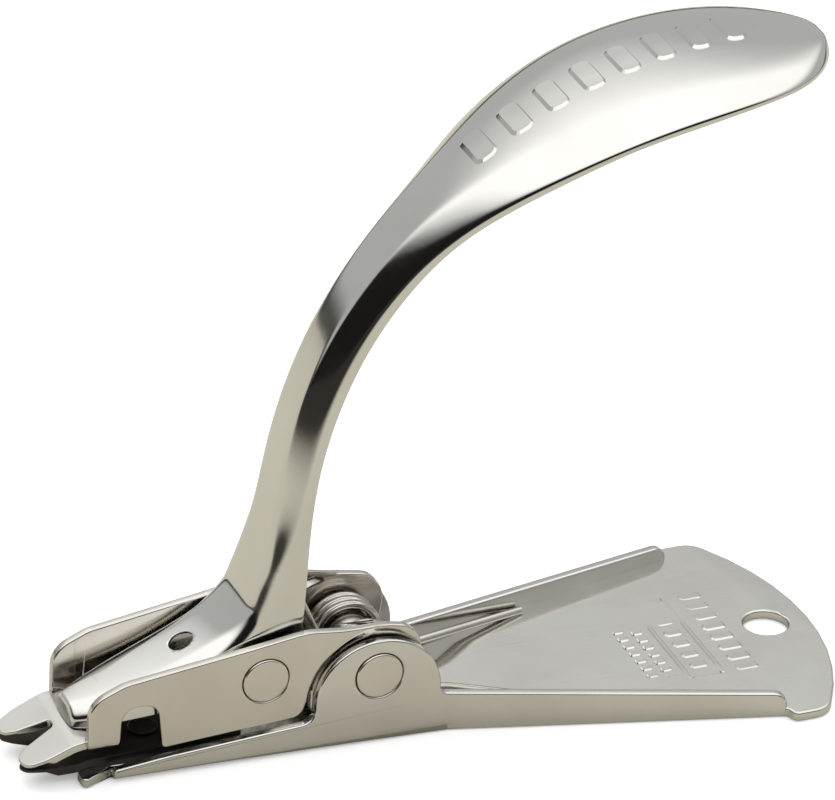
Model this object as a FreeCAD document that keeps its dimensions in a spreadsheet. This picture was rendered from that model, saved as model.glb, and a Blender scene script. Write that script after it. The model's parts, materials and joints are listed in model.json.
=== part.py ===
import FreeCAD
import Part
import Sketcher
import math
import os

from FreeCAD import Placement, Rotation, Vector

# A desk staple remover pressed from nickel-plated sheet steel.
# Frame: millimetres, +Z up, -X towards the forked jaws, +Y to the far side.
# The origin lies on the resting plane straight below the hinge axis, which runs along Y.

DIMENSIONS = [
    ("base_sheet", 2.0, "thickness of the base stamping"),
    ("jaw_sheet", 1.8, "thickness of the upper jaw stamping"),
    ("lever_sheet", 1.6, "thickness of the handle stamping"),
    ("tongue_sheet", 1.8, "thickness of the hardened lower tongue"),
    ("base_front_half_width", 11.5, "half width of the base over its front prongs"),
    ("base_hinge_half_width", 14.2, "half width of the base where the rear flanges start"),
    ("base_front_reach", 60.5, "hinge axis to the end of the front prongs"),
    ("base_rear_reach", 99.3, "hinge axis to the rear edge of the foot plate"),
    ("base_rear_half_width", 33.5, "half width of the foot plate"),
    ("rear_flange_end", 80.5, "hinge axis to the end of the rear flanges"),
    ("rear_flange_spread", 14.4, "angle of a rear flange to the centre plane, degrees"),
    ("ear_radius", 13.0, "radius of the hinge ears"),
    ("hinge_height", 15.1, "height of the hinge axis over the resting plane"),
    ("hinge_pin_radius", 5.0, "radius of the hinge rivet"),
    ("hinge_clearance", 0.05, "radial running clearance at the hinge rivet"),
    ("hang_hole_radius", 4.6, "radius of the hanging hole"),
    ("hang_hole_reach", 90.1, "hinge axis to the hanging hole"),
    ("jaw_front_reach", 59.5, "hinge axis to the front of the jaw side plates"),
    ("jaw_front_half_width", 11.4, "half width of the jaw at its front end"),
    ("jaw_hinge_half_width", 11.1, "half width of the jaw between the ears"),
    ("blade_reach", 72.3, "hinge axis to the tips of the upper blade"),
    ("blade_half_width", 10.2, "half width of the upper blade"),
    ("front_pin_reach", 23.3, "hinge axis to the front rivet"),
    ("front_pin_height", 17.6, "height of the front rivet"),
    ("handle_height", 136.4, "height of the top of the handle"),
    ("pad_half_width", 21.5, "half width of the thumb pad"),
    ("neck_half_width", 8.3, "half width of the handle neck"),
    ("toe_half_width", 9.2, "half width of the handle inside the jaw"),
    ("spring_wire", 1.7, "diameter of the spring wire"),
    ("spring_coil_radius", 6.25, "mean radius of the spring coils"),
]

doc = FreeCAD.newDocument("staple_remover")
sheet = doc.addObject("Spreadsheet::Sheet", "Sizes")
for row, (alias, number, meaning) in enumerate(DIMENSIONS, start=1):
    sheet.set("A%d" % row, meaning)
    sheet.set("B%d" % row, str(number))
    sheet.setAlias("B%d" % row, alias)
doc.recompute()


def size(alias):
    """Number held by one named cell of the sheet."""
    return float(getattr(sheet, alias))


def new_body(label):
    """An empty body that will become one piece."""
    body = doc.addObject("PartDesign::Body", label)
    body.Label = label
    body.Placement = Placement(Vector(0, 0, 0), Rotation())
    return body


def origin_plane(body, role):
    """One of the body's own origin planes."""
    for feature in body.Origin.OriginFeatures:
        if feature.Role == role:
            return feature
    raise RuntimeError("no plane " + role)


def new_sketch(body, name, role="XY_Plane", offset=None):
    """A sketch on one of the body's origin planes, moved by an optional offset in that plane's frame."""
    sketch = body.newObject("Sketcher::SketchObject", name)
    sketch.AttachmentSupport = [(origin_plane(body, role), "")]
    sketch.MapMode = "FlatFace"
    if offset is not None:
        sketch.AttachmentOffset = offset
    return sketch


def add_outline(sketch, corners):
    """Closed outline through corners (u, v, radius); a radius above nought rounds its corner."""
    count = len(corners)
    starts = []
    ends = []
    arcs = []
    for index in range(count):
        u, v, radius = corners[index]
        here = Vector(u, v, 0)
        back = Vector(*corners[index - 1][:2], 0) - here
        ahead = Vector(*corners[(index + 1) % count][:2], 0) - here
        if radius <= 0:
            starts.append(here)
            ends.append(here)
            arcs.append(None)
            continue
        back.normalize()
        ahead.normalize()
        half = back.getAngle(ahead) / 2
        reach = radius / math.tan(half)
        centre = here + (back + ahead).normalize() * (radius / math.sin(half))
        middle = centre + (here - centre).normalize() * radius
        starts.append(here + back * reach)
        ends.append(here + ahead * reach)
        arcs.append(middle)
    for index in range(count):
        if arcs[index] is not None:
            sketch.addGeometry(Part.Arc(starts[index], arcs[index], ends[index]), False)
        following = starts[(index + 1) % count]
        if (following - ends[index]).Length > 1e-6:
            sketch.addGeometry(Part.LineSegment(ends[index], following), False)


def add_circle(sketch, u, v, alias, extra=""):
    """A circle whose radius is bound to a cell of the sheet."""
    index = sketch.addGeometry(Part.Circle(Vector(u, v, 0), Vector(0, 0, 1), size(alias)), False)
    name = alias + "_bound"
    sketch.addConstraint(Sketcher.Constraint("Radius", index, size(alias)))
    sketch.renameConstraint(sketch.ConstraintCount - 1, name)
    sketch.setExpression("Constraints." + name, "Sizes." + alias + extra)


def pad(body, name, sketch, expression, reverse=False, both=False):
    """Pad a sketch by a length bound to the sheet."""
    feature = body.newObject("PartDesign::Pad", name)
    feature.Profile = sketch
    feature.Reversed = reverse
    feature.Midplane = both
    feature.setExpression("Length", expression)
    body.Tip = feature
    return feature


def pocket_through(body, name, sketch):
    """Pocket a sketch through everything on both sides, and make sure it removed material."""
    doc.recompute()
    before = body.Shape.Volume
    feature = body.newObject("PartDesign::Pocket", name)
    feature.Profile = sketch
    feature.Type = "ThroughAll"
    feature.Midplane = True
    body.Tip = feature
    doc.recompute()
    if body.Shape.Volume >= before - 1e-6:
        raise RuntimeError(name + " removed nothing")
    return feature


def mirror(body, name, originals):
    """Repeat features on the far side of the centre plane."""
    feature = body.newObject("PartDesign::Mirrored", name)
    feature.Originals = originals
    feature.MirrorPlane = (origin_plane(body, "XZ_Plane"), [""])
    body.Tip = feature
    return feature


def turned_offset(u, near, angle):
    """Offset that stands a side sketch at (u, -near) and turns it outwards by an angle."""
    return Placement(Vector(u, 0, near), Rotation(Vector(0, 1, 0), -angle))


def build_base_frame():
    """Base stamping: web on the table, front flanges, hinge ears, splayed rear flanges, foot plate."""
    body = new_body("base_frame")
    front = size("base_front_reach")
    near_front = size("base_front_half_width")
    near_hinge = size("base_hinge_half_width")
    flange_end = size("rear_flange_end")
    spread = math.radians(size("rear_flange_spread"))
    flange_near = near_hinge + (flange_end - 15.0) * math.tan(spread)
    foot_near = size("base_rear_half_width")
    rear = size("base_rear_reach")
    prong_inner = near_front - 3.9
    arc_radius = 57.0 * foot_near / 33.5
    arc_centre = rear - arc_radius
    swing = math.asin((foot_near - 2.5) / arc_radius)
    arc_end = arc_centre + arc_radius * math.cos(swing)
    rise = foot_near - arc_radius * math.sin(swing)
    corner_x = arc_end - rise * math.tan(swing)
    arc_corner = arc_radius * math.tan(swing / 2)

    outline = new_sketch(body, "web_outline")
    half = [
        (-front + 11.0, prong_inner, 1.5),
        (-front, prong_inner, 0.8),
        (-front, near_front, 1.2),
        (15.0, near_hinge, 4.0),
        (flange_end, flange_near, 1.0),
        (flange_end + 1.2, foot_near, 1.2),
        (corner_x, foot_near, 5.0),
        (rear, arc_corner, arc_radius * 0.999),
    ]
    corners = half + [(x, -y, radius) for x, y, radius in reversed(half)]
    add_outline(outline, corners)
    web = pad(body, "web", outline, "Sizes.base_sheet")

    taper = math.degrees(math.atan2(near_hinge - near_front, 15.0 + front))
    top = size("hinge_height") + 7.9
    ear = size("ear_radius")
    front_side = new_sketch(body, "front_flange_outline", "XZ_Plane", turned_offset(-front, near_front, taper))
    run = front / math.cos(math.radians(taper))
    add_outline(front_side, [
        (2.0, 0.0, 0),
        (2.0, 0.9, 0),
        (run - 42.8, 4.2, 8.0),
        (run - ear, 6.6, 3.0),
        (run - ear, top, ear * 0.985),
        (run + ear, top, ear * 0.985),
        (run + ear, 8.9, 2.0),
        (run + 15.6, 8.5, 0),
        (run + 15.6, 0.0, 0),
    ])
    front_flange = pad(body, "front_flange", front_side, "Sizes.base_sheet", reverse=True)

    rear_side = new_sketch(body, "rear_flange_outline", "XZ_Plane",
                           turned_offset(15.0, near_hinge, size("rear_flange_spread")))
    length = (flange_end - 15.0) / math.cos(spread)
    add_outline(rear_side, [
        (-0.4, 0.0, 0),
        (-0.4, 8.5, 0),
        (length, 5.2, 3.0),
        (length, 0.0, 0),
    ])
    rear_flange = pad(body, "rear_flange", rear_side, "Sizes.base_sheet", reverse=True)
    mirror(body, "far_flanges", [front_flange, rear_flange])

    hinge_bore = new_sketch(body, "hinge_bore_outline", "XZ_Plane")
    add_circle(hinge_bore, 0.0, size("hinge_height"), "hinge_pin_radius", " + Sizes.hinge_clearance")
    pocket_through(body, "hinge_bore", hinge_bore)

    hang_hole = new_sketch(body, "hang_hole_outline")
    add_circle(hang_hole, size("hang_hole_reach"), 0.0, "hang_hole_radius")
    pocket_through(body, "hang_hole", hang_hole)
    return body


def build_lower_tongue():
    """Hardened forked tongue lying on the base web, ground up to a thin edge at its two tips."""
    body = new_body("lower_tongue")
    reach = size("blade_reach") - 0.4
    thick = size("tongue_sheet")
    floor = size("base_sheet") + 0.05
    side = new_sketch(body, "tongue_side", "XZ_Plane")
    add_outline(side, [
        (-26.0, floor, 0),
        (-60.0, floor, 6.0),
        (-reach, floor + 1.3, 0),
        (-reach, floor + 1.85, 0),
        (-62.0, floor + thick, 6.0),
        (-26.0, floor + thick, 0),
    ])
    plate = body.newObject("PartDesign::Pad", "tongue_plate")
    plate.Profile = side
    plate.Midplane = True
    plate.setExpression("Length", "2 * (Sizes.base_front_half_width - 4.1)")
    body.Tip = plate
    near = size("base_front_half_width") - 4.1
    fork = new_sketch(body, "fork_outline")
    add_outline(fork, [
        (-reach - 3.0, near + 5.0, 0),
        (-reach + 0.1, near + 5.0, 0),
        (-reach + 0.1, near - 3.2, 0),
        (-reach, near - 5.2, 0),
        (-reach + 11.0, 1.9, 1.6),
        (-reach + 11.0, -1.9, 1.6),
        (-reach, -near + 5.2, 0),
        (-reach + 0.1, -near + 3.2, 0),
        (-reach + 0.1, -near - 5.0, 0),
        (-reach - 3.0, -near - 5.0, 0),
    ])
    pocket_through(body, "fork", fork)
    tips = new_sketch(body, "tip_rounding_outline")
    for sign in (1, -1):
        add_outline(tips, [
            (-reach - 2.0, sign * (near + 3.0), 0),
            (-reach + 6.5, sign * (near + 3.0), 0),
            (-reach + 6.5, sign * near, 0),
            (-reach, sign * (near - 2.4), 0),
            (-reach - 2.0, sign * (near - 2.4), 0),
        ])
    pocket_through(body, "tip_rounding", tips)
    holes = new_sketch(body, "rivet_hole_outline")
    for x in (-44.0, -31.0):
        holes.addGeometry(Part.Circle(Vector(x, 0, 0), Vector(0, 0, 1), 2.05), False)
    pocket_through(body, "rivet_holes", holes)
    return body


def build_tongue_rivets():
    """Two short flush rivets that hold the tongue down on the base web."""
    body = new_body("tongue_rivets")
    shanks = new_sketch(body, "shank_outline", "XY_Plane", Placement(Vector(0, 0, 2.05), Rotation()))
    for x in (-44.0, -31.0):
        shanks.addGeometry(Part.Circle(Vector(x, 0, 0), Vector(0, 0, 1), 2.0), False)
    pad(body, "shanks", shanks, "Sizes.tongue_sheet + 0.05")
    heads = new_sketch(body, "head_outline", "XY_Plane",
                       Placement(Vector(0, 0, 2.1 + size("tongue_sheet")), Rotation()))
    for x in (-44.0, -31.0):
        heads.addGeometry(Part.Circle(Vector(x, 0, 0), Vector(0, 0, 1), 3.0), False)
    pad(body, "heads", heads, "Sizes.tongue_sheet * 0.4", reverse=False)
    return body


def build_jaw_channel():
    """Upper jaw: two side plates joined at the front by a web that runs on into the forked blade."""
    body = new_body("jaw_channel")
    front = size("jaw_front_reach")
    near = size("jaw_front_half_width")
    hinge_near = size("jaw_hinge_half_width")
    thick = size("jaw_sheet")
    axis_z = size("hinge_height")

    slope = math.degrees(math.atan2(0.95, 44.5))
    side = new_sketch(body, "side_plate_outline", "XZ_Plane", turned_offset(-front, near, slope))
    run = front
    add_outline(side, [
        (0.0, 8.0, 0),
        (0.0, 18.9, 4.6),
        (run - 53.0, 21.6, 6.0),
        (run - 27.4, 25.1, 30.0),
        (run - 14.6, 27.0, 0),
        (run - 14.6, 8.4, 0),
        (run - 44.3, 6.2, 0.6),
        (run - 52.9, 8.4, 0),
        (run - 57.0, 9.2, 0),
        (run - 57.0, 8.0, 0),
    ])
    plate = pad(body, "side_plate", side, "Sizes.jaw_sheet", reverse=True)

    lobe = new_sketch(body, "hinge_lobe_outline", "XZ_Plane", Placement(Vector(0, 0, hinge_near), Rotation()))
    add_outline(lobe, [
        (-15.8, 8.3, 0),
        (-15.8, 26.9, 0),
        (0.7, 25.4, 14.0),
        (10.3, 21.0, 9.0),
        (10.3, axis_z - 10.3, 9.8),
        (-10.3, axis_z - 10.3, 4.0),
    ])
    hinge_lobe = pad(body, "hinge_lobe", lobe, "Sizes.jaw_sheet", reverse=True)
    mirror(body, "far_side", [plate, hinge_lobe])

    blade = new_sketch(body, "blade_side", "XZ_Plane")
    reach = size("blade_reach")
    add_outline(blade, [
        (-52.8, 9.7, 0),
        (-61.0, 9.7, 3.0),
        (-reach, 4.75, 0),
        (-reach, 4.1, 0),
        (-67.0, 4.9, 4.0),
        (-60.4, 9.7 - thick, 1.5),
        (-52.8, 9.7 - thick, 0),
    ])
    blade_pad = body.newObject("PartDesign::Pad", "blade_web")
    blade_pad.Profile = blade
    blade_pad.Midplane = True
    blade_pad.setExpression("Length", "2 * Sizes.blade_half_width")
    body.Tip = blade_pad

    wide = size("blade_half_width")
    fork = new_sketch(body, "fork_outline")
    add_outline(fork, [
        (-reach - 1.0, 2.2, 0),
        (-reach + 10.2, 1.1, 1.0),
        (-reach + 10.2, -1.1, 1.0),
        (-reach - 1.0, -2.2, 0),
    ])
    pocket_through(body, "fork_slot", fork)
    tips = new_sketch(body, "tip_rounding_outline")
    for sign in (1, -1):
        add_outline(tips, [
            (-reach - 2.0, sign * (wide + 2.0), 0),
            (-reach + 9.0, sign * (wide + 2.0), 0),
            (-reach + 9.0, sign * wide, 0),
            (-reach + 0.9, sign * (wide - 1.8), 3.0),
            (-reach, sign * (wide - 4.2), 3.0),
            (-reach + 0.4, sign * 2.2, 0),
            (-reach - 2.0, sign * 2.2, 0),
        ])
    pocket_through(body, "tip_rounding", tips)

    window = new_sketch(body, "near_window_outline", "XZ_Plane")
    add_outline(window, [
        (-44.3, 5.0, 0),
        (-45.4, 16.4, 3.2),
        (-52.4, 16.4, 3.2),
        (-52.8, 5.0, 0),
    ])
    opening = body.newObject("PartDesign::Pocket", "near_window")
    opening.Profile = window
    opening.Length = 20.0
    opening.Reversed = True
    body.Tip = opening

    bores = new_sketch(body, "rivet_bore_outline", "XZ_Plane")
    add_circle(bores, 0.0, axis_z, "hinge_pin_radius", " + Sizes.hinge_clearance")
    pin = bores.addGeometry(Part.Circle(Vector(-size("front_pin_reach"), size("front_pin_height"), 0),
                                        Vector(0, 0, 1), 5.0), False)
    bores.addConstraint(Sketcher.Constraint("Radius", pin, 5.0))
    pocket_through(body, "rivet_bores", bores)
    return body


def web_points():
    """Outer line of the handle's web in side view, from the toe over the bend and stem to the pad's end."""
    rise = size("handle_height") / 136.4
    stem = [
        (-22.3, 36.0),
        (-20.9, 43.0),
        (-20.0, 52.0),
        (-18.4, 62.0),
        (-15.6, 73.0),
        (-11.6, 83.5),
        (-5.8, 94.0),
        (1.9, 104.4),
        (10.4, 112.8),
        (20.4, 120.4),
        (31.6, 126.8),
        (43.6, 131.7),
        (56.0, 134.8),
        (68.6, 136.2),
        (80.0, 136.4),
        (92.6, 135.6),
    ]
    toe = [
        (-60.6, 14.0),
        (-52.0, 16.4),
        (-43.0, 19.5),
        (-35.0, 22.9),
        (-29.5, 26.2),
        (-25.2, 30.5),
    ]
    return toe + [(x, z * rise) for x, z in stem]


def half_widths():
    """Half width of the handle against the distance (x + z) / sqrt 2 along its view from the front top."""
    toe = size("toe_half_width")
    neck = size("neck_half_width")
    wide = size("pad_half_width")
    return [
        (-34.0, 2.9),
        (-31.5, 4.0),
        (-17.8, toe),
        (-6.0, toe + 0.1),
        (8.0, toe),
        (22.0, (toe + neck) / 2),
        (38.0, neck),
        (56.0, neck),
        (70.0, neck + 0.9),
        (80.0, neck + 2.2),
        (89.0, wide * 0.58),
        (98.5, wide * 0.73),
        (108.5, wide * 0.87),
        (119.0, wide * 0.96),
        (130.0, wide),
        (140.0, wide * 0.995),
        (148.0, wide * 0.93),
        (154.5, wide * 0.78),
        (159.0, wide * 0.52),
        (161.2, 2.2),
    ]


def shifted(points, distance):
    """Points moved sideways off their own line, to its right hand for a positive distance."""
    moved = []
    for index, (u, v) in enumerate(points):
        before = points[max(index - 1, 0)]
        after = points[min(index + 1, len(points) - 1)]
        du = after[0] - before[0]
        dv = after[1] - before[1]
        length = math.hypot(du, dv)
        moved.append((u + dv / length * distance, v - du / length * distance))
    return moved


def add_spline(sketch, points):
    """A smooth curve through points; returns its two ends."""
    curve = Part.BSplineCurve()
    curve.interpolate([Vector(u, v, 0) for u, v in points])
    sketch.addGeometry(curve, False)
    return points[0], points[-1]


def add_lines(sketch, points):
    """A chain of straight lines."""
    for first, second in zip(points[:-1], points[1:]):
        sketch.addGeometry(Part.LineSegment(Vector(*first, 0), Vector(*second, 0)), False)


def lever_solid(label, inset):
    """Handle envelope: side view cut to the width seen at 45 degrees; an inset one is the hollow."""
    body = new_body(label)
    side = new_sketch(body, "side_outline", "XZ_Plane")
    web = shifted(web_points(), inset)
    start, end = add_spline(side, web)
    rise = size("handle_height") / 136.4
    if inset > 0:
        rear = [
            end,
            (end[0] + 6.0, end[1]),
            (end[0] + 6.0, 100.0 * rise),
            (20.0, 60.0 * rise),
            (5.0, 5.0),
            (start[0] - 4.0, 5.0),
            (start[0] - 4.0, start[1]),
            start,
        ]
        add_lines(side, rear)
    else:
        add_lines(side, [end, (92.3, 134.2 * rise)])
        rear = [
            (92.3, 134.2 * rise),
            (80.0, 132.6 * rise),
            (64.0, 131.5 * rise),
            (51.0, 128.3 * rise),
            (39.0, 124.2 * rise),
            (28.0, 119.5 * rise),
            (18.5, 112.5 * rise),
            (9.0, 103.3 * rise),
            (1.5, 93.5 * rise),
            (-4.6, 83.0 * rise),
            (-9.2, 72.8 * rise),
            (-12.3, 62.0 * rise),
            (-13.8, 52.0 * rise),
            (-14.3, 42.0 * rise),
            (-14.5, 31.0),
        ]
        add_spline(side, rear)
        low = size("front_pin_height") - 6.4
        add_lines(side, [(-14.5, 31.0), (-16.2, 16.5), (-18.5, low), (-28.0, low), (-33.0, 13.6),
                         (-52.0, 11.6), (-57.0, 9.95), (-60.6, 9.95), start])
    block = body.newObject("PartDesign::Pad", "side_block")
    block.Profile = side
    block.Midplane = True
    block.setExpression("Length", "4 * Sizes.pad_half_width")
    body.Tip = block
    doc.recompute()

    turn = Rotation(Vector(1, 0, 0), Vector(0, 1, 0), Vector(0, 0, 1), "ZXY")
    tilt = Rotation(Vector(0, 1, 0), -45.0)
    outline = new_sketch(body, "width_outline", "XY_Plane", Placement(Vector(0, 0, 0), tilt.multiply(turn)))
    half = [(s, w - inset) for s, w in half_widths() if w > inset]
    if inset > 0:
        half[0] = (half[0][0] + inset, half[0][1])
        half[-1] = (half[-1][0] - inset * 0.6, half[-1][1])
    add_spline(outline, half)
    add_spline(outline, [(s, -w) for s, w in half])
    add_lines(outline, [(half[0][0], half[0][1]), (half[0][0], -half[0][1])])
    add_lines(outline, [(half[-1][0], half[-1][1]), (half[-1][0], -half[-1][1])])
    add_lines(outline, [(-90.0, -60.0), (-90.0, 60.0), (220.0, 60.0), (220.0, -60.0), (-90.0, -60.0)])
    pocket_through(body, "width_trim", outline)
    return body


def build_handle_lever():
    """Handle stamping: a channel open to the rear, from the toe in the jaw to the broad thumb pad."""
    outer = lever_solid("handle_envelope", 0.0)
    bores = new_sketch(outer, "front_rivet_bore_outline", "XZ_Plane")
    bores.addGeometry(Part.Circle(Vector(-size("front_pin_reach"), size("front_pin_height"), 0),
                                  Vector(0, 0, 1), 5.0), False)
    pocket_through(outer, "front_rivet_bore", bores)
    hole = new_sketch(outer, "toe_hole_outline")
    hole.addGeometry(Part.Circle(Vector(-36.4, 0.0, 0), Vector(0, 0, 1), 2.6), False)
    pocket_through(outer, "toe_hole", hole)
    inner = lever_solid("handle_hollow", size("lever_sheet"))
    lever = doc.addObject("Part::Cut", "handle_lever")
    lever.Label = "handle_lever"
    lever.Base = outer
    lever.Tool = inner
    lever.Placement = Placement(Vector(0, 0, 0), Rotation())
    return lever


def build_rivet(label, x_alias, z_alias, radius, half_length):
    """A flush rivet across the jaw: plain shank, both ends bevelled."""
    shank = doc.addObject("Part::Cylinder", label + "_shank")
    shank.Radius = radius
    shank.setExpression("Height", "2 * (" + half_length + ")")
    rivet = doc.addObject("Part::Chamfer", label)
    rivet.Label = label
    rivet.Base = shank
    rivet.Edges = [(1, 0.4, 0.4), (3, 0.4, 0.4)]
    rivet.setExpression("Placement.Base.x", x_alias)
    rivet.setExpression("Placement.Base.y", half_length)
    rivet.setExpression("Placement.Base.z", z_alias)
    rivet.Placement.Rotation = Rotation(Vector(1, 0, 0), 90)
    return rivet


def build_return_spring():
    """Double torsion spring on the hinge rivet: a front loop behind the handle and two rear legs."""
    wire = size("spring_wire")
    radius = size("spring_coil_radius")
    axis_z = size("hinge_height")
    first = math.radians(-97.5)
    turns = 3.0 + 58.5 / 360.0
    pitch = wire * 1.05
    outer = size("jaw_hinge_half_width") - size("jaw_sheet") - wire / 2 - 0.35
    lead = pitch / (2 * math.pi * radius)

    helix = Part.makeHelix(pitch, pitch * turns, radius)
    begin = Vector(radius, 0, 0)
    start_way = Vector(0, 1, lead).normalize()
    profile = Part.Wire([Part.makeCircle(wire / 2, begin, start_way)])
    coil = Part.Wire(helix.Edges).makePipeShell([profile], True, True)
    turn = 2 * math.pi * turns
    finish = Vector(radius * math.cos(turn), radius * math.sin(turn), pitch * turns)
    end_way = Vector(-math.sin(turn), math.cos(turn), lead).normalize()
    tail = Part.makeCylinder(wire / 2, 18.0, begin, start_way * -1)
    arm = Part.makeCylinder(wire / 2, 26.0, finish, end_way)
    arm_end = finish + end_way * 26.0
    heel = begin - start_way * 18.0

    to_hinge = Placement(Vector(0, -outer, axis_z), Rotation(Vector(0, 1, 0), -math.degrees(first)))
    to_hinge = to_hinge.multiply(Placement(Vector(0, 0, 0), Rotation(Vector(1, 0, 0), -90)))
    heel = to_hinge.multVec(heel)
    arm_end = to_hinge.multVec(arm_end)
    near = [coil, tail, arm]
    for shape in near:
        shape.Placement = to_hinge
    foot = Vector(44.0, -18.4, size("base_sheet") + wire / 2 + 0.25)
    near.append(Part.makeSphere(wire / 2, heel))
    near.append(Part.makeCylinder(wire / 2, (foot - heel).Length, heel, foot - heel))
    near.append(Part.makeSphere(wire / 2, arm_end))
    far = [shape.mirror(Vector(0, 0, 0), Vector(0, 1, 0)) for shape in near]
    bridge = Part.makeCylinder(wire / 2, -2 * arm_end.y, arm_end, Vector(0, 1, 0))
    spring = doc.addObject("Part::Feature", "return_spring")
    spring.Label = "return_spring"
    spring.Shape = near[0].fuse(near[1:] + far + [bridge])
    spring.Placement = Placement(Vector(0, 0, 0), Rotation())
    return spring


parts = [
    build_base_frame(),
    build_lower_tongue(),
    build_tongue_rivets(),
    build_jaw_channel(),
    build_handle_lever(),
    build_rivet("front_rivet", "-Sizes.front_pin_reach", "Sizes.front_pin_height", 4.97,
                "Sizes.jaw_front_half_width + 0.75"),
    build_rivet("pivot_rivet", "0", "Sizes.hinge_height", size("hinge_pin_radius"),
                "Sizes.base_hinge_half_width - 0.5"),
    build_return_spring(),
]
doc.recompute()

for item in doc.Objects:
    for bad in ("Invalid", "Error"):
        if bad in item.State:
            raise RuntimeError(item.Label + " is " + bad)
for piece in parts:
    if piece.Shape.isNull() or not piece.Shape.isValid():
        raise RuntimeError(piece.Label + " has no valid shape")

os.makedirs("parts", exist_ok=True)
for piece in parts:
    piece.Shape.exportStep("parts/" + piece.Label + ".step")
    box = piece.Shape.BoundBox
    print("%-14s solids %d  x %.1f..%.1f  y %.1f..%.1f  z %.1f..%.1f  volume %.0f" % (
        piece.Label, len(piece.Shape.Solids), box.XMin, box.XMax, box.YMin, box.YMax,
        box.ZMin, box.ZMax, piece.Shape.Volume))
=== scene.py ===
# %% [markdown]
# # A pressed-steel staple remover
# The tool is three stampings, a hardened tongue, a wire spring and four rivets. A foot plate lies on
# the desk, a channel-shaped jaw hinges between its ears, and a curved handle riveted into the jaw
# lifts the forked blade when it is squeezed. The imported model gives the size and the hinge's place.

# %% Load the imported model
import json
import math
import bmesh
import bpy
from mathutils import Matrix, Vector


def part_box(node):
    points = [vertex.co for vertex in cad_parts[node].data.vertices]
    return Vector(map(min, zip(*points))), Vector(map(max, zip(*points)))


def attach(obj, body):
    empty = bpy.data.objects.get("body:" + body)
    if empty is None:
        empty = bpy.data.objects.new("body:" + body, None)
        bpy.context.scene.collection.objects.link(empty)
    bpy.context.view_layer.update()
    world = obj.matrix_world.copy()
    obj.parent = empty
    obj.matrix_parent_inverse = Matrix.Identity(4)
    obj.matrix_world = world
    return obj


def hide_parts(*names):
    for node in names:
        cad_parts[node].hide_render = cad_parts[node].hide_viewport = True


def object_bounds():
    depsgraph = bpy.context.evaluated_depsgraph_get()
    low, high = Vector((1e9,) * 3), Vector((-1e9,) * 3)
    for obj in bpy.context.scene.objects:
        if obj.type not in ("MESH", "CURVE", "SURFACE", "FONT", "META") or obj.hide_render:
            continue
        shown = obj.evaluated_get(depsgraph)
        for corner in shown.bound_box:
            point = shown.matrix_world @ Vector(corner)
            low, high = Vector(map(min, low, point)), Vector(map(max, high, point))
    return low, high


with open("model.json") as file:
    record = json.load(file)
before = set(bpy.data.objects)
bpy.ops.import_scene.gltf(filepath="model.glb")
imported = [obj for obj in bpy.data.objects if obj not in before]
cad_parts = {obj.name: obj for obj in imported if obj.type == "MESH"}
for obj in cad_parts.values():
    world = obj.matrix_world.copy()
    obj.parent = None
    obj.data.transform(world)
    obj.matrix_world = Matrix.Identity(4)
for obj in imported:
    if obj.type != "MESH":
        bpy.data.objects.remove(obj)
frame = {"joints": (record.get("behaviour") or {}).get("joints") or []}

cad_box = [list(corner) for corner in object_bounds()]
MM = 0.001
PIVOT_Z = round(frame["joints"][0]["pos_m"][2] / MM, 2)
TAIL_X, FOOT_HALF = (round(value / MM, 2) for value in cad_box[1][:2])
print("hinge height", PIVOT_Z, "tail", TAIL_X, "half width of the foot plate", FOOT_HALF)

# %% [markdown]
# ## Sizes that several pieces share
# The stampings fit into each other with play as thin as a sheet of paper, so the sheets, the pins and
# their holes are set once, in millimetres. Everything else is named where it is first needed.

# %% Shared sizes
BASE_SHEET, JAW_SHEET, HANDLE_SHEET, TONGUE_SHEET = 2.0, 1.8, 1.6, 1.8
PIVOT_PIN, FRONT_PIN = (0, 0, PIVOT_Z), (-23.3, 0, 17.6)
ACROSS = (math.radians(90), 0, 0)
THROUGH = 60.0
LOBE_HALF = 11.1
print("sheets, mm:", BASE_SHEET, JAW_SHEET, HANDLE_SHEET, TONGUE_SHEET)

# %% [markdown]
# ## Hand tools
# Sheet metal starts as a flat blank with a drawn outline. A blank is drawn here the same way: one
# point is extruded from corner to corner and the loop is filled. Rounded corners are worked out
# first, so that each arc is made of short straight steps. Picking is by place, as with a box select.

# %% Selecting by place
def only(piece):
    """Select one object and nothing else."""
    if bpy.context.object and bpy.context.object.mode != "OBJECT":
        bpy.ops.object.mode_set(mode="OBJECT")
    bpy.ops.object.select_all(action="DESELECT")
    piece.select_set(True)
    bpy.context.view_layer.objects.active = piece


def edit(piece):
    """Open one object in edit mode, ready to pick points."""
    only(piece)
    bpy.ops.object.mode_set(mode="EDIT")
    bpy.ops.mesh.select_mode(type="VERT")


def leave():
    bpy.ops.object.mode_set(mode="OBJECT")


def take_all():
    bpy.ops.mesh.select_all(action="SELECT")


def pick(piece, test, kind="VERT"):
    """In edit mode, select the points, edges or faces that pass a test."""
    bpy.ops.mesh.select_all(action="DESELECT")
    bpy.ops.mesh.select_mode(type=kind)
    mesh = bmesh.from_edit_mesh(piece.data)
    things = {"VERT": mesh.verts, "EDGE": mesh.edges, "FACE": mesh.faces}[kind]
    count = 0
    for thing in things:
        if test(thing):
            thing.select_set(True)
            count += 1
    mesh.select_flush_mode()
    bmesh.update_edit_mesh(piece.data)
    return count


print("selecting helpers ready")

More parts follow.
